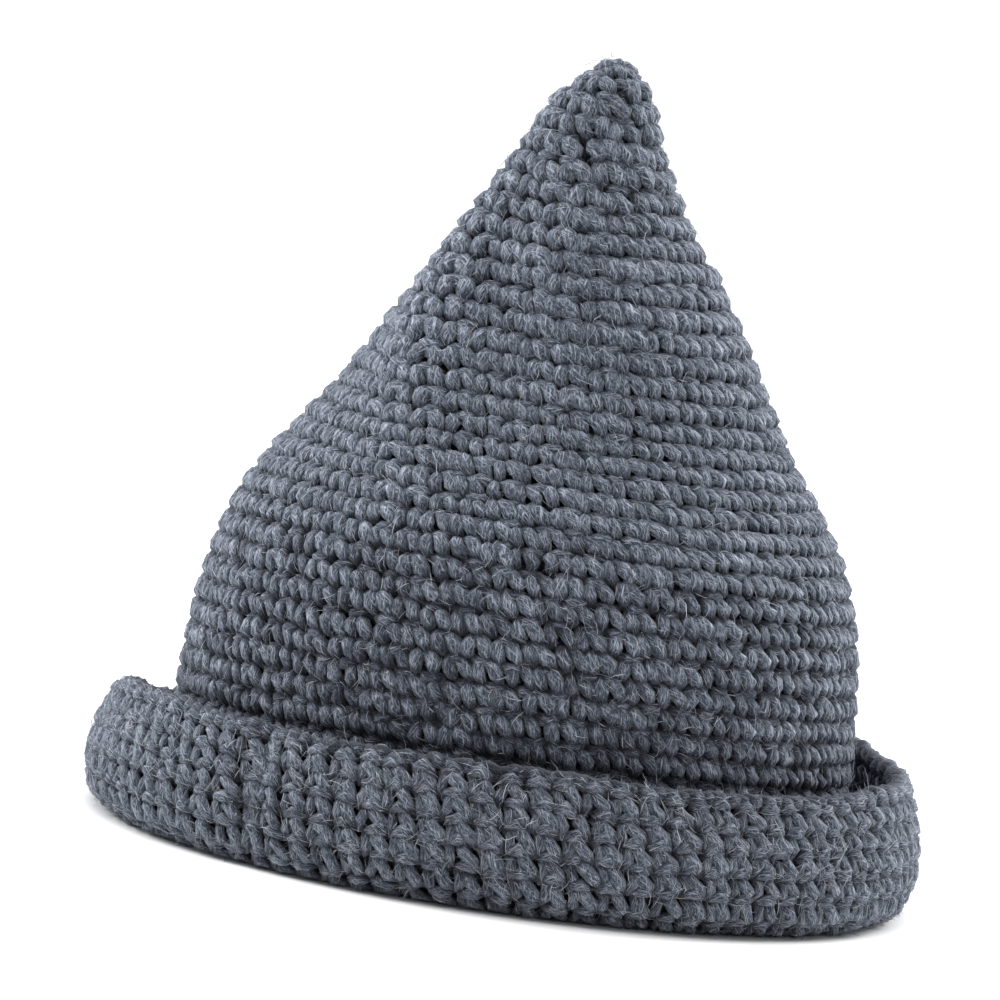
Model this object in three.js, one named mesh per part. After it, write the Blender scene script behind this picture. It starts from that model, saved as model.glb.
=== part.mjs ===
// Beanie crocheted in thick wool: a tall pointed crown that stands on a turned-up brim.
// Millimetres, +Z up. The hat rests on the floor, z = 0, on the fold of its brim.
// An azimuth is in degrees, 0 at the front (-Y) and growing towards the wearer's left hand (+X).
import * as THREE from "three";

// Fabric
const WALL = 5;
const CROWN_ROUND = 6.5;
const BRIM_ROUND = 7;
const ROUND_RELIEF = 0.55;

// Where the crown ends and the brim begins, under the trough
const FOLD_RADIUS = 104;
const SEAM_GAP = 0.3;
const FLAT_START = 99.4;
const FLAT_END = 106.6;

// Fineness of the solids
const CROWN_FACETS = 40;
const BRIM_FACETS = 48;
const LINING_STEP = 17;
const LINING_FOOT = 6;
const TIP_STEP = 3;
const RIM_ARC_STEPS = 3;

// Outer face of the crown from the tip down: height, radius, and sideways lean of its middle
const CROWN_OUTLINE = [
  { height: 224, radius: 0, lean: 1.8 },
  { height: 222.4, radius: 5.6, lean: 1.5 },
  { height: 217.8, radius: 10, lean: 0.8 },
  { height: 211, radius: 14, lean: -0.4 },
  { height: 201, radius: 18.7, lean: -1.4 },
  { height: 190, radius: 24, lean: -1.6 },
  { height: 179, radius: 30.4, lean: -1.3 },
  { height: 168, radius: 37.6, lean: -0.6 },
  { height: 157, radius: 44.8, lean: -0.3 },
  { height: 146, radius: 51.2, lean: 0 },
  { height: 135, radius: 56.9, lean: 0 },
  { height: 123, radius: 63.9, lean: 0 },
  { height: 112, radius: 71.8, lean: 0 },
  { height: 101, radius: 79.2, lean: 0 },
  { height: 90, radius: 85, lean: 0 },
  { height: 77, radius: 89.2, lean: 0 },
  { height: 62, radius: 92, lean: 0 },
  { height: 46, radius: 93.2, lean: 0 },
  { height: 30, radius: 93.4, lean: 0 },
  { height: 18, radius: 93.2, lean: 0 },
  { height: 11, radius: 94.6, lean: 0 },
  { height: 6.6, radius: 97.8, lean: 0 },
  { height: WALL, radius: FOLD_RADIUS, lean: 0 },
];

// Folds that run down the crown: where at their crest, how far they turn for each mm upwards, how
// wide they are, and how far they rise as a share of the radius.
// Each fades in from its top to its crest height and out again to its foot.
const CROWN_FOLDS = [
  { name: "crease", azimuth: -58, slant: -0.42, width: 13, rise: 0.1, top: 216, crest: 156, foot: 88 },
  { name: "left of it", azimuth: -86, slant: -0.42, width: 18, rise: -0.045, top: 200, crest: 150, foot: 92 },
  { name: "right of it", azimuth: -30, slant: -0.42, width: 19, rise: -0.1, top: 216, crest: 160, foot: 90 },
  { name: "right ridge", azimuth: 42, slant: 0, width: 15, rise: 0.035, top: 214, crest: 196, foot: 150 },
  { name: "dent behind", azimuth: 168, slant: 0, width: 26, rise: -0.035, top: 200, crest: 150, foot: 90 },
];

// Middle of the brim's fabric where the rim stands highest, from the fold up to the rim
const BRIM_OUTLINE = [
  { height: WALL / 2, radius: FOLD_RADIUS },
  { height: 3.2, radius: 107.6 },
  { height: 6, radius: 110.8 },
  { height: 10.5, radius: 112.4 },
  { height: 17.5, radius: 112.7 },
  { height: 25, radius: 111.5 },
  { height: 33, radius: 109.3 },
  { height: 40, radius: 107.4 },
];
const BAND_BASE = 10.5;

// Height of the rim's top edge round the hat
const RIM = [
  { azimuth: -180, height: 33 },
  { azimuth: -150, height: 26 },
  { azimuth: -120, height: 26 },
  { azimuth: -105, height: 28.5 },
  { azimuth: -90, height: 34.2 },
  { azimuth: -75, height: 38.8 },
  { azimuth: -60, height: 40 },
  { azimuth: -45, height: 39 },
  { azimuth: -25, height: 39.8 },
  { azimuth: 0, height: 41.3 },
  { azimuth: 30, height: 39.8 },
  { azimuth: 50, height: 39.3 },
  { azimuth: 70, height: 40.4 },
  { azimuth: 90, height: 39.6 },
  { azimuth: 106, height: 40.4 },
  { azimuth: 118, height: 42.2 },
  { azimuth: 180, height: 33 },
];

// Wool
const WOOL = { color: 0x5d636d, roughness: 0.95, metalness: 0 };

function smooth(share) {
  const s = THREE.MathUtils.clamp(share, 0, 1);
  return s * s * (3 - 2 * s);
}

// How far the folds push the crown's wall out at an azimuth and height
function foldRise(azimuth, height, radius) {
  let rise = 0;
  for (const fold of CROWN_FOLDS) {
    const centre = fold.azimuth + fold.slant * (height - fold.crest);
    const turn = THREE.MathUtils.euclideanModulo(azimuth - centre + 180, 360) - 180;
    const across = Math.exp(-((turn / fold.width) ** 2));
    const above = smooth((fold.top - height) / (fold.top - fold.crest));
    const below = smooth((height - fold.foot) / (fold.crest - fold.foot));
    rise += fold.rise * radius * across * Math.min(above, below);
  }
  return rise;
}

function rimHeight(azimuth) {
  const next = RIM.findIndex((row) => row.azimuth > azimuth);
  if (next < 1) {
    return RIM[RIM.length - 1].height;
  }
  const from = RIM[next - 1];
  const to = RIM[next];
  const share = (azimuth - from.azimuth) / (to.azimuth - from.azimuth);
  return THREE.MathUtils.lerp(from.height, to.height, smooth(share));
}

// A row's point in the plane of the wall's section: x is the radius, y the lean and z the height
function outlineCurve(rows) {
  const points = rows.map((row) => new THREE.Vector3(row.radius, row.lean ?? 0, row.height));
  const curve = new THREE.CatmullRomCurve3(points, false, "centripetal");
  curve.arcLengthDivisions = 1200;
  return curve;
}

// The curve's point at a distance from its start, moved to its left-hand side by an offset
function besideCurve(curve, distance, offset) {
  const share = THREE.MathUtils.clamp(distance / curve.getLength(), 0, 1);
  const point = curve.getPointAt(share);
  const along = curve.getTangentAt(share);
  const span = Math.hypot(along.x, along.z);
  point.x -= (offset * along.z) / span;
  point.z += (offset * along.x) / span;
  return point;
}

// Alternates between the middle of a round of stitches, which stands proud, and the groove below it
function roundRelief(step) {
  return step % 2 === 1 ? ROUND_RELIEF : -ROUND_RELIEF;
}

function placed(azimuth, radius, lean, height) {
  const turn = THREE.MathUtils.degToRad(azimuth);
  return [lean + radius * Math.sin(turn), -radius * Math.cos(turn), height];
}

// Closed mesh from a grid of points, one column to each azimuth, with its ends joined to two poles
// on the middle line or, where there are none, to each other
function wrapped(columns, poles) {
  const vertices = columns.flat(2);
  const triangles = [];
  const count = columns.length;
  const rows = columns[0].length;
  const index = (column, row) => (column % count) * rows + (row % rows);
  const joined = poles ? rows - 1 : rows;
  for (let column = 0; column < count; column += 1) {
    for (let row = 0; row < joined; row += 1) {
      const here = index(column, row);
      const right = index(column + 1, row);
      const below = index(column, row + 1);
      const across = index(column + 1, row + 1);
      triangles.push(here, below, right, right, below, across);
    }
  }
  if (poles) {
    const first = vertices.length / 3;
    vertices.push(...poles[0], ...poles[1]);
    for (let column = 0; column < count; column += 1) {
      triangles.push(first, index(column, 0), index(column + 1, 0));
      triangles.push(first + 1, index(column + 1, rows - 1), index(column, rows - 1));
    }
  }
  const geometry = new THREE.BufferGeometry();
  geometry.setAttribute("position", new THREE.Float32BufferAttribute(vertices, 3));
  geometry.setIndex(triangles);
  geometry.computeVertexNormals();
  return geometry;
}

function azimuths(facets) {
  return Array.from({ length: facets }, (_, step) => -180 + (360 * step) / facets);
}

// Crown: ribbed by its rounds outside and plain inside. Its foot flares out to the fold.
function crownGeometry() {
  const outline = outlineCurve(CROWN_OUTLINE);
  const length = outline.getLength();
  const outside = [];
  for (let step = 1; step * (CROWN_ROUND / 2) < length - 1; step += 1) {
    const distance = step * (CROWN_ROUND / 2);
    outside.push(besideCurve(outline, distance, roundRelief(step)));
  }
  const edge = FOLD_RADIUS - SEAM_GAP / 2;
  const foot = [
    new THREE.Vector3(edge, 0, WALL),
    new THREE.Vector3(edge, 0, 0),
    new THREE.Vector3(FLAT_START, 0, 0),
  ];
  const lining = [];
  for (let distance = length - LINING_FOOT; distance > 0; ) {
    const point = besideCurve(outline, distance, -WALL);
    if (point.x > TIP_STEP) {
      lining.push(point);
    }
    distance -= point.z < BAND_BASE ? LINING_FOOT / 2 : LINING_STEP;
  }
  const profile = [...outside, ...foot, ...lining];
  const column = (azimuth) =>
    profile.map((point) => {
      const radius = point.x + foldRise(azimuth, point.z, point.x);
      return placed(azimuth, radius, point.y, point.z);
    });
  const top = CROWN_OUTLINE[0];
  const inside = lining[lining.length - 1];
  const poles = [
    [top.lean, 0, top.height],
    [inside.y, 0, inside.z + TIP_STEP],
  ];
  return wrapped(azimuths(CROWN_FACETS).map(column), poles);
}

// Brim: its section is the fabric's middle line, thickened to both sides, flat where it rests and
// rounded over the rim. Above the fold its height follows the rim's.
function brimProfile() {
  const outline = outlineCurve(BRIM_OUTLINE);
  const length = outline.getLength();
  const half = WALL / 2;
  const outside = [];
  const trough = [];
  const steps = 2 * Math.round(length / BRIM_ROUND);
  for (let step = 1; step <= steps; step += 1) {
    const distance = (length * step) / steps;
    outside.push(besideCurve(outline, distance, -half - roundRelief(step)));
    if (step % 2 === 0) {
      trough.unshift(besideCurve(outline, distance, half));
    }
  }
  const edge = FOLD_RADIUS + SEAM_GAP / 2;
  const bottom = [new THREE.Vector3(edge, 0, 0), new THREE.Vector3(FLAT_END, 0, 0)];
  const rim = [];
  const end = BRIM_OUTLINE[BRIM_OUTLINE.length - 1];
  for (let step = 1; step < RIM_ARC_STEPS; step += 1) {
    const turn = (Math.PI * step) / RIM_ARC_STEPS;
    rim.push(new THREE.Vector3(end.radius + half * Math.cos(turn), 0, end.height + half * Math.sin(turn)));
  }
  return [...bottom, ...outside, ...rim, ...trough, new THREE.Vector3(edge, 0, WALL)].reverse();
}

function brimGeometry() {
  const profile = brimProfile();
  const top = Math.max(...profile.map((point) => point.z));
  const column = (azimuth) => {
    const stretch = (rimHeight(azimuth) - BAND_BASE) / (top - BAND_BASE);
    return profile.map((point) => {
      const above = Math.max(point.z - BAND_BASE, 0);
      return placed(azimuth, point.x, 0, point.z + above * (stretch - 1));
    });
  };
  return wrapped(azimuths(BRIM_FACETS).map(column), null);
}

function piece(name, geometry) {
  const mesh = new THREE.Mesh(geometry, new THREE.MeshStandardMaterial(WOOL));
  mesh.name = name;
  return mesh;
}

const beanie = new THREE.Group();
beanie.add(piece("crown", crownGeometry()));
beanie.add(piece("brim", brimGeometry()));

export default beanie;
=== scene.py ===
# Beanie crocheted in thick wool: its yarn, stitch by stitch, and the wool's loose fibres.
# Lengths are millimetres, except where metres are named, and mesh_object() turns them into metres.
# An azimuth is in degrees, 0 at the front (-Y) and growing towards +X. The fabric is followed along
# one line that runs from the tip down the crown, round the fold that the hat rests on and up the
# brim to its rim. Its right side shows on the crown, and its wrong side on the turned-up brim.
import math
from typing import NamedTuple

import bpy
import numpy as np
from mathutils import Matrix, Vector


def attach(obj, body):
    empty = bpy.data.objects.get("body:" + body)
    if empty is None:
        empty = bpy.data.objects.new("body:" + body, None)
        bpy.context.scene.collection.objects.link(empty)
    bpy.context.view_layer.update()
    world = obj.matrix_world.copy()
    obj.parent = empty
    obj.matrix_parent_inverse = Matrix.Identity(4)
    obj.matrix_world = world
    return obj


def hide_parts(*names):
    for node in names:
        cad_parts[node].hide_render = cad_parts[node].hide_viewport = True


MM = 0.001
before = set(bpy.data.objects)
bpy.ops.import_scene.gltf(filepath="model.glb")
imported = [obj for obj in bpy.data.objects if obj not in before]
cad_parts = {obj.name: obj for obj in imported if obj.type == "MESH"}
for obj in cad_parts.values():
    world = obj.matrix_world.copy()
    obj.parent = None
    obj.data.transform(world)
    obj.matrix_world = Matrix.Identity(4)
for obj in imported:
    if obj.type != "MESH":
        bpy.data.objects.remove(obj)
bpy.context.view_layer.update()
rng = np.random.default_rng(20)

# Camera
MM_PER_PIXEL = 0.275
CAMERA_DISTANCE = 4000
CAMERA_ELEVATION = 6.5
CAMERA_ROLL = 8.5
AIM_HEIGHT = 98.4
AIM_SIDE = -13.0
IMAGE_PIXELS = 1000
SENSOR_WIDTH = 36
NEAREST_SEEN = 100
FARTHEST_SEEN = 20_000

# Rounds and stitches: their usual sizes, the rounds on the brim, and the fewest stitches in one
CROWN_ROUND = 6.5
CROWN_STITCH = 8.4
BRIM_STITCH = 7.9
BRIM_ROUNDS = 6
FIRST_STITCHES = 5

# How far each round's stitches are moved along from those of the round before, in stitches
DRIFT = -0.24

# Where a round's width counts for its stitches: as a share of its height on the crown, which its
# stitches also lean about, and as a distance past the fold on the brim
STITCH_MIDDLE = 0.6
BRIM_MIDDLE = 20

# How far inside its outline the fabric's middle lies: on the crown, at the fold, over how long a
# stretch the one becomes the other, and on the brim
CROWN_INSET = 3.6
FOLD_INSET = 1.7
INSET_CHANGE = 34
BRIM_INSET = 0.8

# How much further inside it lies at the tip, from which height, and over how many mm it gets there
TIP_INSET = 0.6
TIP_FOOT = 205
TIP_CHANGE = 15

# The fabric comes no nearer to the tip's axis than this, and the yarn no nearer to the line's start
LEAST_RADIUS = 0.3
LEAST_DISTANCE = 0.4

# The crown's rounds rise towards the front, and level out over the last stretch above the fold
ROUND_TILT = math.tan(math.radians(3.5))
TILT_FOOT = 36

# Stitches up the crown: how long their rounds are and how thick the yarn is as shares of the usual,
# how far it stands out, how unevenly it lies, and how much the painted shade in the notches is eased,
# which paints the crown lighter or darker by height (0 usual, 1 as light as the top, below 0 darker)
STITCH_FACTS = ("height", "length", "plump", "relief", "unevenness", "painted_shade_ease")
CROWN_STITCHES = [
    (0, 1.0, 1.0, 1.0, 1.0, -0.40),
    (40, 1.0, 1.0, 1.0, 1.0, -0.75),
    (85, 1.0, 1.0, 1.0, 1.0, -0.70),
    (105, 1.0, 1.0, 1.0, 1.0, 0.10),
    (125, 1.0, 1.0, 1.0, 1.0, 0.14),
    (150, 1.11, 1.12, 0.95, 1.0, 0.0),
    (170, 1.12, 1.14, 0.94, 1.1, -0.15),
    (190, 1.11, 1.16, 0.92, 1.2, -0.10),
    (205, 1.04, 1.18, 0.84, 1.6, 0.30),
    (224, 0.96, 1.16, 0.80, 2.0, 0.65),
]

# How much the painted shade in the brim's notches is eased, which paints the brim lighter or darker
# round the hat: azimuth, share as above
BRIM_PAINTED_SHADE_EASE = [
    (-180, 0.15),
    (-75, 0.26),
    (-52, 0.1),
    (-34, -0.3),
    (30, -0.35),
    (60, 0.05),
    (90, 0.2),
    (180, 0.15),
]

# Outer face of the crown from the tip down: height, radius, and sideways lean of its middle
CROWN_OUTLINE = [
    (224, 0, 1.8),
    (222.4, 5.6, 1.5),
    (217.8, 10, 0.8),
    (211, 14, -0.4),
    (201, 18.7, -1.4),
    (190, 24, -1.6),
    (179, 30.4, -1.3),
    (168, 37.6, -0.6),
    (157, 44.8, -0.3),
    (146, 51.2, 0),
    (135, 56.9, 0),
    (123, 63.9, 0),
    (112, 71.8, 0),
    (101, 79.2, 0),
    (90, 85, 0),
    (77, 89.2, 0),
    (62, 92, 0),
    (46, 93.2, 0),
    (30, 93.4, 0),
    (18, 93.2, 0),
    (11, 94.6, 0),
    (6.6, 97.8, 0),
    (5, 104, 0),
]

# Folds down the crown: azimuth at the crest and its change per mm of height, half width, rise as a
# share of the radius, and top, crest and foot heights
CROWN_FOLDS = [
    (-58, -0.42, 13, 0.1, 216, 156, 88),
    (-86, -0.42, 18, -0.045, 200, 150, 92),
    (-30, -0.42, 19, -0.1, 216, 160, 90),
    (42, 0, 15, 0.035, 214, 196, 150),
    (168, 0, 26, -0.035, 200, 150, 90),
]

# Middle of the brim's fabric where the rim stands highest, from the fold up: height, radius, lean
BRIM_OUTLINE = [
    (2.5, 104, 0),
    (3.2, 107.6, 0),
    (6, 110.8, 0),
    (10.5, 112.4, 0),
    (17.5, 112.7, 0),
    (25, 111.5, 0),
    (33, 109.3, 0),
    (40, 107.4, 0),
]

# The brim is stretched from BAND_BASE up, to bring its top from BAND_TOP to the rim's height
BAND_BASE = 10.5
BAND_TOP = 42.3

# Dark vertical pucker in the brim: azimuth, half width in degrees, depth, and where it sets in
PUCKER_AT = -36.4
PUCKER_WIDTH = 2.8
PUCKER_DEPTH = 3.4
PUCKER_FOOT = 4
PUCKER_CHANGE = 8

# Height of the rim's top edge round the hat: azimuth, height
RIM = [
    (-180, 33),
    (-150, 26),
    (-120, 26),
    (-105, 28.5),
    (-90, 34.2),
    (-75, 38.8),
    (-60, 40),
    (-45, 39),
    (-25, 39.8),
    (0, 41.3),
    (30, 39.8),
    (50, 39.3),
    (70, 40.4),
    (90, 39.6),
    (106, 40.4),
    (118, 42.2),
    (180, 33),
]

# Yarn of one single crochet stitch, seen on its right side with the work growing downwards:
# across in stitches from the hole it is worked into, down in rounds, out in mm, and yarn radius in mm
CROWN_YARN = [
    (-0.62, 0.80, -1.4, 1.80),
    (-0.24, 0.34, -1.7, 1.90),
    (-0.03, 0.03, -0.6, 1.30),
    (-0.12, 0.15, 1.0, 1.65),
    (-0.13, 0.38, 2.2, 2.10),
    (-0.05, 0.64, 2.4, 2.20),
    (0.05, 0.85, 1.3, 1.85),
    (0.14, 0.99, -0.4, 1.35),
    (0.44, 1.02, -0.4, 1.35),
    (0.64, 0.86, 1.3, 1.85),
    (0.54, 0.63, 2.4, 2.25),
    (0.34, 0.36, 2.2, 2.20),
    (0.12, 0.14, 1.0, 1.75),
    (0.03, 0.03, -0.6, 1.30),
    (0.07, 0.48, -1.6, 1.60),
    (-0.14, 0.96, -0.9, 1.40),
    (0.02, 1.16, -1.6, 1.75),
    (0.36, 1.22, -1.9, 1.90),
    (0.74, 1.08, -0.9, 1.50),
    (1.00, 1.04, 0.0, 1.35),
    (0.74, 1.15, 1.6, 1.90),
    (0.45, 1.19, 1.9, 1.95),
    (0.16, 1.04, 0.1, 1.35),
]

# The same stitch on the brim, where the fabric's wrong side shows and the work grows upwards
BRIM_YARN = [
    (-0.78, 0.95, -0.5, 1.50),
    (-0.60, 0.72, -2.4, 1.95),
    (-0.29, 0.34, -2.6, 2.00),
    (-0.05, 0.02, -0.4, 1.40),
    (-0.05, 0.14, 1.2, 1.80),
    (-0.06, 0.44, 1.9, 2.10),
    (-0.02, 0.76, 1.6, 2.10),
    (0.08, 0.98, 0.2, 1.45),
    (0.40, 1.00, 0.2, 1.45),
    (0.51, 0.78, 1.6, 2.10),
    (0.41, 0.44, 1.9, 2.15),
    (0.21, 0.13, 0.8, 1.70),
    (0.09, 0.02, -0.8, 1.40),
    (0.14, 0.34, -2.4, 1.70),
    (0.10, 0.66, -2.0, 1.60),
    (-0.06, 0.90, -0.3, 1.35),
    (0.02, 1.05, -1.8, 1.60),
    (0.26, 1.16, -2.8, 1.95),
    (0.50, 1.03, -1.8, 1.70),
    (0.66, 0.90, -0.1, 1.35),
    (0.98, 1.02, 0.8, 1.45),
    (0.56, 1.16, 1.5, 1.90),
    (0.18, 1.02, 0.2, 1.40),
]

# One strand of the two that twist round each other along the rim
EDGE_YARN = [
    (0.00, 0.00, 1.5, 1.9),
    (0.25, 0.09, 0.2, 1.9),
    (0.50, 0.00, -1.6, 2.0),
    (0.75, -0.09, -0.2, 1.9),
]

# Room that the rounds leave for the edge, and how far below the end of the line the edge runs
EDGE_ROOM = 3.2
EDGE_AT = 0.9

# Section of the yarn: sides and their corners' angles, its thickness out of the fabric as a share of
# that along it, and the least share of its usual radius where the stitches crowd at the tip
SIDES = 6
RING_ANGLES = np.arange(SIDES) * 2 * math.pi / SIDES
FLATTEN = 0.85
LEAST_YARN = 0.72

# How unevenly the yarn lies, across in stitches, down in rounds and out in mm: the wobble of each
# point and the sway of each stitch. Then how much each stitch leans, and how much the yarn's radius
# varies from stitch to stitch and from corner to corner of its rings
POINT_WOBBLE = (0.03, 0.03, 0.14)
STITCH_SWAY = (0.05, 0.04, 0.22)
STITCH_LEAN = 0.11
STITCH_PLUMPNESS = 0.06
FLUFF = 0.05

# Each round runs in waves: how many of them go round the hat, and how high each kind is
ROUND_WAVES = (3, 7, 13)
WAVE_HEIGHT = 0.18

# The yarn is thicker where the stitches fan out and thinner where they crowd, within FAN_LIMITS.
# Their spacing is measured at SPREAD over the fabric's middle, between points at this turn to either
# side, and taken as a share of the usual one, which is LEAST_SPACING at least
SPREAD = 2
FAN_TURN = 1.5
FAN_LIMITS = (0.88, 1.3)
LEAST_SPACING = 0.2

# Steps either way in which the fabric's slope is measured, in degrees and mm
TURN_STEP = 0.5
LINE_STEP = 0.6

# Yarn belongs to the fabric's hidden face where it is turned and lies further back than this, and its
# painted shade is then measured from that face
BACK_TURN = -0.45
BACK_DEPTH = -1.5

# Turns of the wool's streaks round the yarn, in radians per mm: with the strand and across it. Each
# round begins somewhere else in their noise, and the streaks across are further off still
TWIST = 0.2
CROSS_TWIST = -0.35
NOISE_LENGTH = 900
CROSSING_SHIFT = 1000

# Cells on the flat map: how many times as high as wide for a stitch, the margins in shares of a
# cell, and where across its cell a fibre's triangles have their corners
CELL_SLENDERNESS = 4
CELL_MARGIN = (0.06, 0.02)
FIBRE_MARGIN = 0.05
FIBRE_CORNERS = (0.1, 0.9, 0.5)

# Loose fibres: how many, their radius and its range in shares, and the stray ones' lengths
CROWN_LYING = 17200
CROWN_STRAY = 8000
BRIM_LYING = 15000
BRIM_STRAY = 5000
FIBRE_RADIUS = 0.052
FIBRE_THICKNESS = (0.7, 1.5)
FIBRE_LENGTHS = (1.8, 5.8)

# Lying fibres: how far the yarn they lie on has to stand out, and how much they vary in radians: in
# their turn from the face that shows, in their winding per mm of yarn, and at each point. Then how
# high over the yarn's surface their middle is and how far below it their ends, in shares of its radius
LYING_HEIGHT = 0.6
LYING_TURN = 0.6
LYING_WIND = 0.4
LYING_SHAKE = 0.15
LYING_LIFT = (0.03, 0.16)
LYING_SINK = 0.04

# Stray fibres: how far the yarn they grow from has to stand out, at which share of its radius they
# begin, how far aside they begin and set off, how steeply they climb, how much they curl and fall
# back, and where along them their points are
STRAY_HEIGHT = 0.8
STRAY_ROOT = 0.85
STRAY_ASIDE = 0.7
STRAY_DRIFT = 0.8
STRAY_CLIMB = (0.0, 0.3)
STRAY_CURL = 0.6
STRAY_FALL = (0.0, 0.35)
STRAY_STEPS = (0, 0.35, 0.7, 1.0)

# Surface of the wool
WOOL_SURFACE = {
    "Roughness": 0.95,
    "Specular IOR Level": 0.15,
    "Sheen Weight": 0.3,
    "Sheen Roughness": 0.5,
    "Sheen Tint": (0.75, 0.82, 0.95, 1),
}

# Streaks of the wool: how dense their noise is round and along the yarn, its detail and roughness,
# their colours, and how high they stand in metres
STREAK_STRETCH = (4.4, 4.4, 0.32)
STREAK_DETAIL = 3.0
CROSSING_STRETCH = (5.0, 5.0, 0.45)
CROSSING_DETAIL = 2.0
STREAK_ROUGHNESS = 0.6
WOOL_STREAKS = [
    (0.46, (0.035, 0.044, 0.061)),
    (0.56, (0.115, 0.135, 0.172)),
    (0.68, (0.45, 0.492, 0.575)),
]
STREAK_RELIEF = 0.0008

# Painted shade between the stitches: shares of the wool's colour between DEEP and PROUD, which are
# heights over the fabric's middle, darker where the yarn lies deeper
DEEP = 0.0
PROUD = 4.2
PAINTED_CREVICE_SHADE = [
    (0.0, (0.05, 0.05, 0.065)),
    (0.42, (0.20, 0.20, 0.225)),
    (0.75, (0.68, 0.68, 0.70)),
    (1.0, (1, 1, 1)),
]

# Slightly darker patches: density and detail of their noise, and shares of the wool's colour
PATCH_NOISE = {"Scale": 38, "Detail": 2}
PATCH_SHADES = [(0.3, (0.93, 0.93, 0.935)), (0.7, (1, 1, 1))]

# Curly lines of single fibres: their noise and its middle value, how near to that they are full and
# end, how much of their colour they lay on the wool, and where in the noise each set of them lies
CURL_NOISE = {"Scale": 260, "Detail": 1}
CURL_MIDDLE = 0.5
CURL_WIDTH = (0.002, 0.016)
CURL_STRENGTH = 0.35
CURL_COLOUR = (0.36, 0.39, 0.45, 1)
CURL_SHIFTS = [(0, 0, 0), (0.31, 0.17, 0.05)]

# Colours of the loose fibres, from the darkest to the few brownish ones
FIBRE_SHADES = [
    (0.0, (0.10, 0.115, 0.145)),
    (0.5, (0.30, 0.33, 0.38)),
    (0.95, (0.68, 0.72, 0.78)),
    (1.0, (0.36, 0.30, 0.25)),
]

# Softboxes: name, place in metres, and power in watts. Their size and aim are in metres too
SOFTBOXES = [
    ("left softbox", (-1.25, 0.45, 0.9), 21),
    ("right softbox", (1.0, 0.95, 0.9), 32),
]
SOFTBOX_SIZE = 0.7
SOFTBOX_AIM = (0, 0, 0.1)

# Light from above, its softness in degrees, and the light from all round
OVERHEAD_STRENGTH = 2.7
OVERHEAD_ANGLE = 50
OVERHEAD_DIRECTION = (0.1, 0.0, -1)
WORLD_STRENGTH = 0.45

# White paper that the hat stands on, its size in metres
PAPER = {"Base Color": (0.85, 0.85, 0.85, 1), "Roughness": 0.9}
FLOOR_SIZE = 40

# Which of the fabric's sides shows
RIGHT_SIDE = 1
WRONG_SIDE = -1

# Most stitches in one piece, where one more triangle to a stitch leaves room for the yarn's ends
MOST_TRIANGLES = 200_000
MOST_STITCHES = MOST_TRIANGLES // (len(CROWN_YARN) * SIDES * 2 + 1)


class Round(NamedTuple):
    """One round of stitches: where it begins along the fabric's line, how high it is, how many
    stitches it has, its turn in degrees, the yarn of a stitch, and how that is varied"""

    start: float
    height: float
    count: int
    offset: float
    stitch: list
    scale: float = 1.0
    relief: float = 1.0
    unevenness: float = 1.0
    spread: float = SPREAD


class Strand(NamedTuple):
    """A round's yarn at each of its rings: middle, unit vectors along it, to two sides of it and to
    the fabric's right side, radius, length up to there, and height over the fabric's middle"""

    middle: np.ndarray
    along: np.ndarray
    side: np.ndarray
    third: np.ndarray
    out: np.ndarray
    radius: np.ndarray
    length: np.ndarray
    height: np.ndarray


class Yarn:
    """Rounds of yarn, gathered until they become one mesh"""

    def __init__(self):
        self.points = []
        self.quads = []
        self.streaks = []
        self.crossing = []
        self.proud = []
        self.cells = []
        self.strands = []
        self.count = 0
        self.stitches = 0


def smooth(share):
    s = np.clip(share, 0, 1)
    return s * s * (3 - 2 * s)


def half_turned(azimuth):
    """The same azimuth, between -180 and 180"""
    return (azimuth + 180) % 360 - 180


def lengths_along(points):
    return np.concatenate([[0], np.cumsum(np.linalg.norm(np.diff(points, axis=0), axis=1))])


def unit(vectors):
    return vectors / np.maximum(np.linalg.norm(vectors, axis=-1, keepdims=True), 1e-9)


def curve_through(rows, steps=24):
    """Points of a smooth curve through the rows, evenly many to each span"""
    points = np.array(rows, float)
    at = lengths_along(points)
    slope = np.gradient(points, at, axis=0)
    fine = np.interp(np.arange((len(points) - 1) * steps + 1) / steps, np.arange(len(points)), at)
    span = np.clip(np.searchsorted(at, fine, side="right") - 1, 0, len(points) - 2)
    width = (at[span + 1] - at[span])[:, None]
    t = ((fine - at[span])[:, None]) / width
    start = (1 + 2 * t) * (1 - t) ** 2 * points[span] + t * (1 - t) ** 2 * width * slope[span]
    end = t**2 * (3 - 2 * t) * points[span + 1] + t**2 * (t - 1) * width * slope[span + 1]
    return start + end


def shifted(line, offset):
    """A line of (height, radius, lean) moved towards the fabric's right side"""
    along = np.gradient(line[:, :2], axis=0)
    along /= np.linalg.norm(along, axis=1)[:, None]
    moved = line.copy()
    moved[:, 0] += offset * along[:, 1]
    moved[:, 1] -= offset * along[:, 0]
    return moved


def fabric_line():
    """The fabric's middle from the tip to the rim, and how far along it each point and the fold are"""
    crown = curve_through(CROWN_OUTLINE)
    along = lengths_along(crown[:, :2])
    near_fold = smooth(1 - (along[-1] - along) / INSET_CHANGE)
    near_tip = smooth((crown[:, 0] - TIP_FOOT) / TIP_CHANGE)
    inset = CROWN_INSET + (FOLD_INSET - CROWN_INSET) * near_fold + TIP_INSET * near_tip
    crown = shifted(crown, -inset)
    crown[:, 1] = np.maximum(crown[:, 1], LEAST_RADIUS)
    brim = shifted(curve_through(BRIM_OUTLINE), BRIM_INSET)
    line = np.concatenate([crown, brim[1:]])
    return line, lengths_along(line[:, :2]), lengths_along(crown[:, :2])[-1]


LINE, ALONG, FOLD_AT = fabric_line()
LINE_END = ALONG[-1]


def line_at(distance):
    """Height, radius and lean of the fabric's middle at a distance along its line"""
    return [np.interp(distance, ALONG, LINE[:, k]) for k in range(3)]


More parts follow.
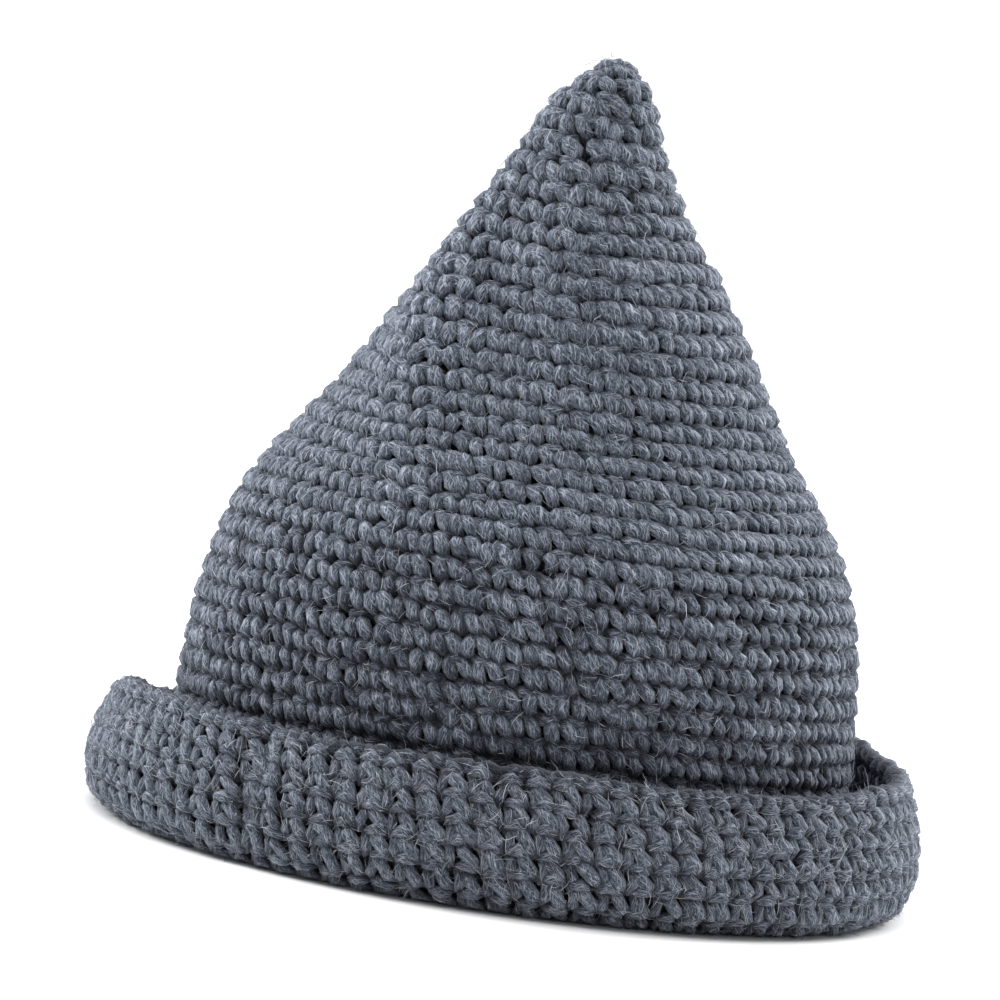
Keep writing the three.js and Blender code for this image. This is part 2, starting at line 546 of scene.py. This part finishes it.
def fold_rise(azimuth, height, radius):
    rise = 0
    for at, slant, half_width, share, top, crest, foot in CROWN_FOLDS:
        turn = half_turned(azimuth - at - slant * (height - crest))
        above = smooth((top - height) / (top - crest))
        below = smooth((height - foot) / (crest - foot))
        rise = rise + share * radius * np.exp(-((turn / half_width) ** 2)) * np.minimum(above, below)
    return rise


def pucker_depth(azimuth, height):
    turn = half_turned(azimuth - PUCKER_AT)
    set_in = smooth((height - PUCKER_FOOT) / PUCKER_CHANGE)
    return PUCKER_DEPTH * np.exp(-((turn / PUCKER_WIDTH) ** 2)) * set_in


def rim_height(azimuth):
    azimuth = half_turned(azimuth)
    at, height = np.array(RIM, float).T
    step = np.clip(np.searchsorted(at, azimuth, side="right") - 1, 0, len(at) - 2)
    share = smooth((azimuth - at[step]) / (at[step + 1] - at[step]))
    return height[step] + (height[step + 1] - height[step]) * share


def surface(azimuth, distance):
    """The fabric's middle at an azimuth and a distance along its line"""
    height, radius, lean = line_at(distance)
    past_end = np.maximum(distance - LINE_END, 0)
    on_brim = distance > FOLD_AT
    radius = radius + np.where(on_brim, 0, fold_rise(azimuth, height, radius))
    radius = radius - np.where(on_brim, pucker_depth(azimuth, height), 0)
    above = np.maximum(height - BAND_BASE, 0)
    stretch = (rim_height(azimuth) - BAND_BASE) / (BAND_TOP - BAND_BASE)
    height = height + np.where(on_brim, above * (stretch - 1), 0) + past_end
    turn = np.radians(azimuth)
    return np.stack([lean + radius * np.sin(turn), -radius * np.cos(turn), height], axis=-1)


def surface_axes(azimuth, distance):
    """Unit vectors across (along a round), down (along the line) and out (the fabric's right side)"""
    across = unit(surface(azimuth + TURN_STEP, distance) - surface(azimuth - TURN_STEP, distance))
    ahead = np.minimum(distance + LINE_STEP, LINE_END)
    down = unit(surface(azimuth, ahead) - surface(azimuth, ahead - 2 * LINE_STEP))
    out = unit(np.cross(down, across))
    return across, down, out


def fanned_out(azimuth, distance, height):
    """How much further apart than usual the stitches are at a height over the fabric's middle"""
    ends = []
    for turn in (-FAN_TURN, FAN_TURN):
        out = surface_axes(azimuth + turn, distance)[2]
        ends.append(surface(azimuth + turn, distance) + out * height)
    usual = math.radians(2 * FAN_TURN) * (line_at(distance)[1] + height)
    apart = np.linalg.norm(ends[1] - ends[0], axis=1)
    return np.clip(apart / np.maximum(usual, LEAST_SPACING), *FAN_LIMITS)


def tilt_shift(azimuth, distance):
    """How far down its line a round slips, because the crown's rounds rise towards the front"""
    share = smooth((FOLD_AT - distance) / TILT_FOOT)
    return -line_at(distance)[1] * np.cos(np.radians(azimuth)) * ROUND_TILT * share


def carried_sides(path):
    """A vector square to a stitch's path at each of its points, turned as little as can be from one
    to the next, and the same again where the next stitch begins"""
    count = len(path)
    repeat = np.array([CROWN_STITCH, 0, 0])
    ahead = np.concatenate([path, path + repeat])
    along = unit(np.gradient(np.concatenate([path - repeat, ahead]), axis=0))[count:]
    side = np.zeros((count + 1, 3))
    side[0] = unit(np.cross(along[0], (0, 0, 1.0)))
    for k in range(count):
        step = ahead[k + 1] - ahead[k]
        mirrored = side[k] - 2 * (step @ side[k]) / (step @ step) * step
        mirrored_along = along[k] - 2 * (step @ along[k]) / (step @ step) * step
        turn = along[k + 1] - mirrored_along
        side[k + 1] = mirrored - 2 * (turn @ mirrored) / max(turn @ turn, 1e-12) * turn
    first, last = side[0], side[count]
    error = math.atan2(np.cross(last, first) @ along[0], last @ first)
    angles = error * np.arange(count)[:, None] / count
    third = np.cross(along[:count], side[:count])
    return side[:count] * np.cos(angles) + third * np.sin(angles)


def uneven_stitches(facts):
    """The yarn of a round's stitches one after another, in the columns of CROWN_YARN"""
    rows = np.array(facts.stitch)
    count, rings = facts.count, len(rows)
    points = np.repeat(rows[None], count, axis=0)
    points[..., 0] += np.arange(count)[:, None]
    wobble = rng.normal(0, 1, (count, rings, 3)) * POINT_WOBBLE
    sway = rng.normal(0, 1, (count, 1, 3)) * STITCH_SWAY
    lean = rng.normal(0, STITCH_LEAN, (count, 1))
    plump = rng.normal(1, STITCH_PLUMPNESS, (count, 1))
    points[..., :3] += (wobble + sway) * facts.unevenness
    points[..., 0] += lean * (points[..., 1] - STITCH_MIDDLE)
    points[..., 3] *= plump * facts.scale
    points[..., 2] *= facts.relief
    return points.reshape(-1, 4).T


def laid_strand(facts):
    """Lays the stitches of a round on the fabric"""
    across_by, down_by, height, radius = uneven_stitches(facts)
    azimuth = across_by * 360 / facts.count + facts.offset
    phases = rng.uniform(0, 2 * math.pi, len(ROUND_WAVES))
    waves = sum(np.sin(np.radians(azimuth) * many + phase) for many, phase in zip(ROUND_WAVES, phases))
    distance = facts.start + down_by * facts.height + waves * WAVE_HEIGHT
    distance = np.maximum(distance + tilt_shift(azimuth, distance), LEAST_DISTANCE)
    across, down, out = surface_axes(azimuth, distance)
    middle = surface(azimuth, distance) + out * height[:, None]
    along = unit(np.gradient(middle, axis=0))
    path = np.array(facts.stitch)[:, :3] * (CROWN_STITCH, CROWN_ROUND, 1)
    side = np.tile(carried_sides(path), (facts.count, 1))
    side = side[:, :1] * across + side[:, 1:2] * down + side[:, 2:] * out
    side = unit(side - along * np.sum(side * along, axis=1, keepdims=True))
    third = np.cross(along, side)
    radius = radius * fanned_out(azimuth, distance, facts.spread)
    return Strand(middle, along, side, third, out, radius, lengths_along(middle), height)


def yarn_rings(strand, facing):
    """Corners of a strand's rings, and how far each stands out on the face of the fabric it is on, which
    sets the painted shade between stitches
    """
    sideways = strand.side[:, None] * np.cos(RING_ANGLES)[None, :, None]
    radial = sideways + strand.third[:, None] * np.sin(RING_ANGLES)[None, :, None]
    outwards = np.sum(radial * strand.out[:, None], axis=2)
    fluff = rng.normal(1, FLUFF, (len(strand.middle), SIDES, 1))
    flattened = radial - strand.out[:, None] * outwards[..., None] * (1 - FLATTEN)
    corners = strand.middle[:, None] + strand.radius[:, None, None] * fluff * flattened
    corners[..., 2] = np.maximum(corners[..., 2], 0)
    proud = (strand.height[:, None] + strand.radius[:, None] * FLATTEN * outwards) * facing
    on_back = (outwards * facing < BACK_TURN) & (proud < BACK_DEPTH)
    return corners.reshape(-1, 3), np.where(on_back, -proud, proud).ravel()


def tube_quads(rings, first):
    """Faces of a tube of so many rings, closed at both ends, from its first corner's number"""
    ring = first + np.arange(rings - 1)[:, None] * SIDES
    k = np.arange(SIDES)[None]
    following = (k + 1) % SIDES
    beyond = ring + SIDES
    quads = np.stack([ring + k, ring + following, beyond + following, beyond + k], axis=-1)
    start_caps = np.array([[0, 5, 4, 3], [0, 3, 2, 1]]) + first
    end_caps = np.array([[0, 1, 2, 3], [0, 3, 4, 5]]) + first + (rings - 1) * SIDES
    return np.concatenate([quads.reshape(-1, 4), start_caps, end_caps])


def place_in_noise(length, twist, drawn):
    """Where the corners of a strand's rings lie in a noise that is wound round the yarn"""
    angle = RING_ANGLES[None] + twist * length[:, None]
    drawn = np.repeat(drawn[:, None], SIDES, axis=1)
    return np.stack([np.cos(angle), np.sin(angle), drawn], axis=-1).reshape(-1, 3)


def strip_coordinates(spans, rings, first):
    """Where each quad of a round lies on the flat map: a cell number, and its corners in that cell"""
    span, k = np.meshgrid(np.arange(spans), np.arange(SIDES), indexing="ij")
    cell = first + span // rings
    low = (span % rings) / rings
    high = low + 1 / rings
    left = k / SIDES
    right = (k + 1) / SIDES
    corners = np.stack([left, low, right, low, right, high, left, high], axis=-1).reshape(-1, 4, 2)
    cells = np.repeat(cell.reshape(-1, 1), 4, axis=1)
    cap_corners = np.zeros((4, 4, 2))
    cap_cells = np.full((4, 4), first)
    return np.concatenate([cells, cap_cells]), np.concatenate([corners, cap_corners])


def work_round(yarn, facing, facts):
    """Adds one round of stitches to the yarn"""
    strand = laid_strand(facts)
    rings = len(strand.middle)
    points, proud = yarn_rings(strand, facing)
    drawn = strand.length + rng.uniform(0, NOISE_LENGTH)
    yarn.points.append(points)
    yarn.proud.append(proud)
    yarn.streaks.append(place_in_noise(strand.length, TWIST, drawn))
    yarn.crossing.append(place_in_noise(strand.length, CROSS_TWIST, drawn + CROSSING_SHIFT))
    yarn.quads.append(tube_quads(rings, yarn.count))
    yarn.cells.append(strip_coordinates(rings - 1, len(facts.stitch), yarn.stitches))
    yarn.strands.append(strand)
    yarn.count += rings * SIDES
    yarn.stitches += facts.count


def flat_map(yarn):
    """Packs the stitches' cells into a square, a little apart"""
    cells = np.concatenate([part[0] for part in yarn.cells])
    corners = np.concatenate([part[1] for part in yarn.cells])
    columns = math.ceil(math.sqrt(yarn.stitches / CELL_SLENDERNESS) * CELL_SLENDERNESS)
    rows = math.ceil(yarn.stitches / columns)
    place = np.stack([cells % columns, cells // columns], axis=-1)
    margin = np.array(CELL_MARGIN)
    return (place + margin + (1 - 2 * margin) * corners) / (columns, rows)


def mesh_object(name, points, faces, uv, numbers):
    """A smooth mesh with its flat map and with numbers kept at its points, all in metres"""
    mesh = bpy.data.meshes.new(name)
    mesh.vertices.add(len(points))
    mesh.vertices.foreach_set("co", (points * MM).ravel())
    corners = faces.shape[1]
    mesh.loops.add(faces.size)
    mesh.loops.foreach_set("vertex_index", faces.ravel())
    mesh.polygons.add(len(faces))
    mesh.polygons.foreach_set("loop_start", np.arange(len(faces)) * corners)
    mesh.update(calc_edges=True)
    mesh.polygons.foreach_set("use_smooth", np.ones(len(faces), bool))
    for title, values in numbers.items():
        is_vector = values.ndim == 2
        attribute = mesh.attributes.new(title, "FLOAT_VECTOR" if is_vector else "FLOAT", "POINT")
        attribute.data.foreach_set("vector" if is_vector else "value", values.ravel())
    layer = mesh.uv_layers.new(name="OFBake")
    layer.data.foreach_set("uv", uv.ravel())
    mesh.validate()
    thing = bpy.data.objects.new(name, mesh)
    bpy.context.scene.collection.objects.link(thing)
    return thing


def dress(thing, node, material):
    thing.data.materials.append(material)
    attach(thing, "root")
    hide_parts(node)


def stitch_fact(name, height):
    """One column of CROWN_STITCHES at a height"""
    rows = np.array(CROWN_STITCHES)
    return np.interp(height, rows[:, 0], rows[:, STITCH_FACTS.index(name)])


def eased_painted_shade(proud, points, facing):
    """How far the yarn stands out for the painted shade, taken as more where that shade is eased, which
    paints parts of the hat lighter or darker
    """
    if facing == RIGHT_SIDE:
        share = stitch_fact("painted_shade_ease", points[:, 2])
    else:
        azimuth = np.degrees(np.arctan2(points[:, 0], -points[:, 1]))
        share = np.interp(azimuth, *np.array(BRIM_PAINTED_SHADE_EASE).T)
    return proud + share * (PROUD - proud)


def yarn_piece(name, node, rounds, facing, material):
    yarn = Yarn()
    for facts in rounds:
        work_round(yarn, facing, facts)
    points = np.concatenate(yarn.points)
    numbers = {
        "strand": np.concatenate(yarn.streaks),
        "crossing": np.concatenate(yarn.crossing),
        # How far the yarn stands out, which sets the painted shade between stitches, eased by height or
        # azimuth
        "proud": eased_painted_shade(np.concatenate(yarn.proud), points, facing),
    }
    thing = mesh_object(name, points, np.concatenate(yarn.quads), flat_map(yarn), numbers)
    dress(thing, node, material)
    return yarn.strands


def split_by_stitches(rounds):
    """Groups of rounds that are small enough for a piece each"""
    groups = [[]]
    held = 0
    for facts in rounds:
        if held + facts.count > MOST_STITCHES:
            groups.append([])
            held = 0
        groups[-1].append(facts)
        held += facts.count
    return groups


def yarn_pieces(node, rounds, facing, material):
    strands = []
    for number, group in enumerate(split_by_stitches(rounds), 1):
        strands += yarn_piece(f"{node}_rounds_{number}", node, group, facing, material)
    return strands


def crown_rounds():
    """Rounds from the tip down, as high as their stitches are long and made to end at the fold"""
    heights = []
    while sum(heights) < FOLD_AT:
        level = line_at(sum(heights))[0]
        heights.append(CROWN_ROUND * stitch_fact("length", level))
    heights = np.array(heights) * FOLD_AT / sum(heights)
    rounds = []
    start = 0
    offset = 0
    for height in heights:
        radius = line_at(start + STITCH_MIDDLE * height)[1]
        count = max(FIRST_STITCHES, round(2 * math.pi * radius / CROWN_STITCH))
        pitch = 2 * math.pi * radius / count
        level = line_at(start)[0]
        scale = np.clip((pitch / CROWN_STITCH) ** 0.5, LEAST_YARN, 1) * stitch_fact("plump", level)
        relief = stitch_fact("relief", level)
        unevenness = stitch_fact("unevenness", level)
        offset += DRIFT * 360 / count
        rounds.append(Round(start, height, count, offset, CROWN_YARN, scale, relief, unevenness))
        start += height
    return rounds


def brim_rounds():
    """Rounds from the fold up, and the two strands along the rim"""
    height = (LINE_END - EDGE_ROOM - FOLD_AT) / BRIM_ROUNDS
    count = round(2 * math.pi * line_at(FOLD_AT + BRIM_MIDDLE)[1] / BRIM_STITCH)
    rounds = []
    for k in range(BRIM_ROUNDS):
        rounds.append(Round(FOLD_AT + k * height, height, count, k * DRIFT * 360 / count, BRIM_YARN))
    for phase in (0, 0.5):
        offset = phase * 360 / count
        rounds.append(Round(LINE_END - EDGE_AT, height, count, offset, EDGE_YARN, spread=-SPREAD))
    return rounds


def shared_out(count, strands):
    """How many fibres each round gets, by its yarn's length"""
    lengths = np.array([strand.length[-1] for strand in strands])
    return rng.multinomial(count, lengths / lengths.sum())


def lying_fibres(strands, facing, count):
    """Fibres that follow the yarn's twist along its surface: three points to each"""
    fibres = []
    for strand, many in zip(strands, shared_out(count, strands)):
        open_to_view = np.nonzero((strand.height * facing)[1:-2] > LYING_HEIGHT)[0]
        first = open_to_view[rng.integers(0, len(open_to_view), many)]
        middle = first + 1
        look = strand.out[middle] * facing
        sideways = np.sum(strand.side[middle] * look, axis=1)
        turn = np.arctan2(np.sum(strand.third[middle] * look, axis=1), sideways)
        turn = turn + rng.normal(0, LYING_TURN, many)
        wind = rng.normal(-TWIST, LYING_WIND, many)
        lift = rng.uniform(*LYING_LIFT, many)
        points = []
        for at, rise in ((first, -LYING_SINK), (middle, lift), (middle + 1, -LYING_SINK)):
            shake = rng.normal(0, LYING_SHAKE, many)
            angle = turn + wind * (strand.length[at] - strand.length[middle]) + shake
            off = strand.side[at] * np.cos(angle)[:, None] + strand.third[at] * np.sin(angle)[:, None]
            outwards = np.sum(off * strand.out[at], axis=1, keepdims=True)
            off -= strand.out[at] * outwards * (1 - FLATTEN)
            reach = strand.radius[at] * (1 + rise)
            points.append(strand.middle[at] + off * reach[:, None])
        fibres.append(np.stack(points, axis=1))
    return np.concatenate(fibres)


def stray_fibres(strands, facing, count):
    """Fibres that leave the yarn's surface and curl over it"""
    fibres = []
    for strand, many in zip(strands, shared_out(count, strands)):
        open_to_view = np.nonzero(strand.height * facing > STRAY_HEIGHT)[0]
        root = open_to_view[rng.integers(0, len(open_to_view), many)]
        look = strand.out[root] * facing
        drift = unit(rng.normal(0, 1, (many, 3)))
        drift = unit(drift - look * np.sum(drift * look, axis=1, keepdims=True))
        from_middle = unit(look + STRAY_ASIDE * drift) * strand.radius[root][:, None] * STRAY_ROOT
        start = strand.middle[root] + from_middle
        heading = unit(strand.along[root] * rng.choice((-1, 1), many)[:, None] + drift * STRAY_DRIFT)
        heading = unit(heading + look * rng.uniform(*STRAY_CLIMB, many)[:, None])
        bend = unit(np.cross(look, heading)) * rng.normal(0, STRAY_CURL, many)[:, None]
        bend -= look * rng.uniform(*STRAY_FALL, many)[:, None]
        reach = rng.uniform(*FIBRE_LENGTHS, many)[:, None]
        steps = [start + reach * (heading * t + bend * t * t) for t in STRAY_STEPS]
        fibres.append(np.stack(steps, axis=1))
    return np.concatenate(fibres)


def spindle_faces(rings):
    """Triangles of a body with a point at each end and three-cornered rings between"""
    last = 3 * rings + 1
    faces = []
    for corner in range(3):
        following = (corner + 1) % 3
        faces.append((0, 1 + following, 1 + corner))
        for ring in range(1, last - 3, 3):
            faces.append((ring + corner, ring + following, ring + 3 + following))
            faces.append((ring + corner, ring + 3 + following, ring + 3 + corner))
        faces.append((last - 3 + corner, last - 3 + following, last))
    return np.array(faces)


def spindles(spine):
    """Slim closed bodies along their spines: points, faces, corners on the flat map, and shades"""
    total, steps = spine.shape[:2]
    spine[..., 2] = np.maximum(spine[..., 2], 2 * FIBRE_RADIUS)
    along = unit(spine[:, -1] - spine[:, 0])
    side = unit(np.cross(along, unit(rng.normal(0, 1, (total, 3)))))
    third = np.cross(along, side)
    thickness = FIBRE_RADIUS * rng.uniform(*FIBRE_THICKNESS, total)[:, None]
    points = [spine[:, 0]]
    for k in range(1, steps - 1):
        for corner in range(3):
            angle = corner * 2 * math.pi / 3
            points.append(spine[:, k] + thickness * (side * math.cos(angle) + third * math.sin(angle)))
    points.append(spine[:, -1])
    each = len(points)
    faces = spindle_faces(steps - 2)
    lengthwise = (np.arange(each) + 2) // 3 / (steps - 1)
    corner_uv = np.stack([lengthwise[faces], np.tile(FIBRE_CORNERS, (len(faces), 1))], axis=-1)
    number = np.arange(total)[:, None, None]
    shade = np.repeat(rng.uniform(0, 1, total), each)
    return np.stack(points, axis=1).reshape(-1, 3), faces[None] + each * number, corner_uv, shade


def fibre_piece(name, node, strands, facing, lying, stray, material):
    parts = [
        spindles(lying_fibres(strands, facing, lying)),
        spindles(stray_fibres(strands, facing, stray)),
    ]
    columns = math.ceil(math.sqrt(lying + stray))
    triangles = []
    maps = []
    first_point = 0
    first_cell = 0
    for points, faces, corner_uv, shade in parts:
        cell = first_cell + np.arange(len(faces))
        low = np.stack([cell % columns, cell // columns], axis=1)[:, None, None]
        inside = FIBRE_MARGIN + (1 - 2 * FIBRE_MARGIN) * corner_uv[None]
        maps.append(((low + inside) / columns).reshape(-1, 2))
        triangles.append((faces + first_point).reshape(-1, 3))
        first_point += len(points)
        first_cell += len(faces)
    points = np.concatenate([part[0] for part in parts])
    numbers = {"shade": np.concatenate([part[3] for part in parts])}
    thing = mesh_object(name, points, np.concatenate(triangles), np.concatenate(maps), numbers)
    dress(thing, node, material)


def plain_material(name, surface_values):
    material = bpy.data.materials.new(name)
    material.use_nodes = True
    shader = material.node_tree.nodes["Principled BSDF"]
    for title, value in surface_values.items():
        shader.inputs[title].default_value = value
    return material, material.node_tree, shader


def add_node(tree, kind, values=None, **settings):
    """A new node with its settings, and with values on its sockets"""
    node = tree.nodes.new(kind)
    for title, setting in settings.items():
        setattr(node, title, setting)
    for socket, value in (values or {}).items():
        node.inputs[socket].default_value = value
    return node


def number_at_points(tree, title, output):
    return add_node(tree, "ShaderNodeAttribute", attribute_name=title).outputs[output]


def noise_at(tree, place, values):
    noise = add_node(tree, "ShaderNodeTexNoise", values)
    tree.links.new(place, noise.inputs["Vector"])
    return noise.outputs["Fac"]


def ramp(tree, value, stops):
    """The colours that a ramp of stops, each a value and a colour, gives to a value"""
    node = add_node(tree, "ShaderNodeValToRGB")
    elements = node.color_ramp.elements
    while len(elements) < len(stops):
        elements.new(1)
    for element, (position, colour) in zip(elements, stops):
        element.position = position
        element.color = (*colour, 1)
    tree.links.new(value, node.inputs["Fac"])
    return node.outputs["Color"]


def product(tree, first, second):
    mix = add_node(tree, "ShaderNodeMix", data_type="RGBA", blend_type="MULTIPLY")
    mix.inputs["Factor"].default_value = 1
    tree.links.new(first, mix.inputs["A"])
    tree.links.new(second, mix.inputs["B"])
    return mix.outputs["Result"]


def streak_noise(tree, title, stretch, detail):
    """Streaks of a noise that is wound round the yarn"""
    stretched = add_node(tree, "ShaderNodeVectorMath", {1: stretch}, operation="MULTIPLY")
    tree.links.new(number_at_points(tree, title, "Vector"), stretched.inputs[0])
    values = {"Scale": 1.0, "Detail": detail, "Roughness": STREAK_ROUGHNESS}
    return noise_at(tree, stretched.outputs[0], values)


def curly_lines(tree, place, shift):
    """Thin curly lines, where a smooth noise crosses its middle value"""
    moved = add_node(tree, "ShaderNodeVectorMath", {1: shift}, operation="ADD")
    tree.links.new(place, moved.inputs[0])
    off_middle = add_node(tree, "ShaderNodeMath", {1: CURL_MIDDLE}, operation="SUBTRACT")
    tree.links.new(noise_at(tree, moved.outputs[0], CURL_NOISE), off_middle.inputs[0])
    away = add_node(tree, "ShaderNodeMath", operation="ABSOLUTE")
    tree.links.new(off_middle.outputs[0], away.inputs[0])
    limits = {"From Min": CURL_WIDTH[0], "From Max": CURL_WIDTH[1], "To Min": CURL_STRENGTH, "To Max": 0}
    line = add_node(tree, "ShaderNodeMapRange", limits)
    tree.links.new(away.outputs[0], line.inputs["Value"])
    return line.outputs["Result"]


def with_curly_lines(tree, place, colour):
    for shift in CURL_SHIFTS:
        mix = add_node(tree, "ShaderNodeMix", data_type="RGBA")
        mix.inputs["B"].default_value = CURL_COLOUR
        tree.links.new(colour, mix.inputs["A"])
        tree.links.new(curly_lines(tree, place, shift), mix.inputs["Factor"])
        colour = mix.outputs["Result"]
    return colour


def wool_material():
    """Wool yarn: streaks of lighter and darker fibres along the twist, with painted shade deep between
    stitches
    """
    material, tree, shader = plain_material("wool", WOOL_SURFACE)
    streaks = add_node(tree, "ShaderNodeMath", operation="MAXIMUM")
    with_twist = streak_noise(tree, "strand", STREAK_STRETCH, STREAK_DETAIL)
    tree.links.new(with_twist, streaks.inputs[0])
    across_twist = streak_noise(tree, "crossing", CROSSING_STRETCH, CROSSING_DETAIL)
    tree.links.new(across_twist, streaks.inputs[1])
    # Painted shade: the wool's colour is darkened where its yarn lies deep between the stitches
    height = add_node(tree, "ShaderNodeMapRange", {"From Min": DEEP, "From Max": PROUD})
    tree.links.new(number_at_points(tree, "proud", "Fac"), height.inputs["Value"])
    place = add_node(tree, "ShaderNodeTexCoord").outputs["Object"]
    colour = ramp(tree, streaks.outputs[0], WOOL_STREAKS)
    colour = with_curly_lines(tree, place, colour)
    colour = product(tree, colour, ramp(tree, height.outputs["Result"], PAINTED_CREVICE_SHADE))
    colour = product(tree, colour, ramp(tree, noise_at(tree, place, PATCH_NOISE), PATCH_SHADES))
    tree.links.new(colour, shader.inputs["Base Color"])
    relief = add_node(tree, "ShaderNodeBump", {"Strength": 1.0, "Distance": STREAK_RELIEF})
    tree.links.new(streaks.outputs[0], relief.inputs["Height"])
    tree.links.new(relief.outputs["Normal"], shader.inputs["Normal"])
    return material


def fibre_material():
    material, tree, shader = plain_material("loose_fibre", WOOL_SURFACE)
    colour = ramp(tree, number_at_points(tree, "shade", "Fac"), FIBRE_SHADES)
    tree.links.new(colour, shader.inputs["Base Color"])
    return material


def make_hat():
    wool = wool_material()
    fibre = fibre_material()
    crown_yarn = yarn_pieces("crown", crown_rounds(), RIGHT_SIDE, wool)
    brim_yarn = yarn_pieces("brim", brim_rounds(), WRONG_SIDE, wool)
    fibre_piece("crown_fibres", "crown", crown_yarn, RIGHT_SIDE, CROWN_LYING, CROWN_STRAY, fibre)
    fibre_piece("brim_fibres", "brim", brim_yarn, WRONG_SIDE, BRIM_LYING, BRIM_STRAY, fibre)


def make_camera():
    data = bpy.data.cameras.new("camera")
    data.sensor_width = SENSOR_WIDTH
    data.lens = SENSOR_WIDTH * CAMERA_DISTANCE / (MM_PER_PIXEL * IMAGE_PIXELS)
    data.clip_start = NEAREST_SEEN * MM
    data.clip_end = FARTHEST_SEEN * MM
    camera = bpy.data.objects.new("camera", data)
    bpy.context.scene.collection.objects.link(camera)
    tilt = math.radians(CAMERA_ELEVATION)
    back = Vector((0, -math.cos(tilt), math.sin(tilt)))
    aim = Vector((AIM_SIDE, 0, AIM_HEIGHT)) * MM
    camera.location = aim + back * CAMERA_DISTANCE * MM
    level = (-back).to_track_quat("-Z", "Y").to_matrix()
    camera.rotation_euler = (level @ Matrix.Rotation(math.radians(CAMERA_ROLL), 3, "Z")).to_euler()
    bpy.context.scene.camera = camera


def place_lamp(data, place, direction):
    lamp = bpy.data.objects.new(data.name, data)
    lamp.location = place
    lamp.rotation_euler = direction.to_track_quat("-Z", "Y").to_euler()
    bpy.context.scene.collection.objects.link(lamp)


def make_lights():
    for name, place, power in SOFTBOXES:
        softbox = bpy.data.lights.new(name, "AREA")
        softbox.shape = "SQUARE"
        softbox.size = SOFTBOX_SIZE
        softbox.energy = power
        place_lamp(softbox, place, Vector(SOFTBOX_AIM) - Vector(place))
    overhead = bpy.data.lights.new("overhead light", "SUN")
    overhead.energy = OVERHEAD_STRENGTH
    overhead.angle = math.radians(OVERHEAD_ANGLE)
    place_lamp(overhead, (0, 0, 0), Vector(OVERHEAD_DIRECTION))


def make_world():
    """Light from all round, which the camera sees as white as the floor"""
    world = bpy.data.worlds.new("studio")
    world.use_nodes = True
    tree = world.node_tree
    background = tree.nodes["Background"]
    background.inputs["Color"].default_value = (1, 1, 1, 1)
    background.inputs["Strength"].default_value = WORLD_STRENGTH
    seen = add_node(tree, "ShaderNodeLightPath")
    strength = add_node(tree, "ShaderNodeMapRange", {"To Min": WORLD_STRENGTH, "To Max": 1})
    tree.links.new(seen.outputs["Is Camera Ray"], strength.inputs["Value"])
    tree.links.new(strength.outputs["Result"], background.inputs["Strength"])
    bpy.context.scene.world = world
    bpy.context.scene.view_settings.view_transform = "Standard"


def make_floor():
    bpy.ops.mesh.primitive_plane_add(size=FLOOR_SIZE)
    floor = bpy.context.active_object
    floor.name = "floor"
    floor.data.materials.append(plain_material("paper", PAPER)[0])


make_hat()
make_camera()
make_lights()
make_world()
make_floor()
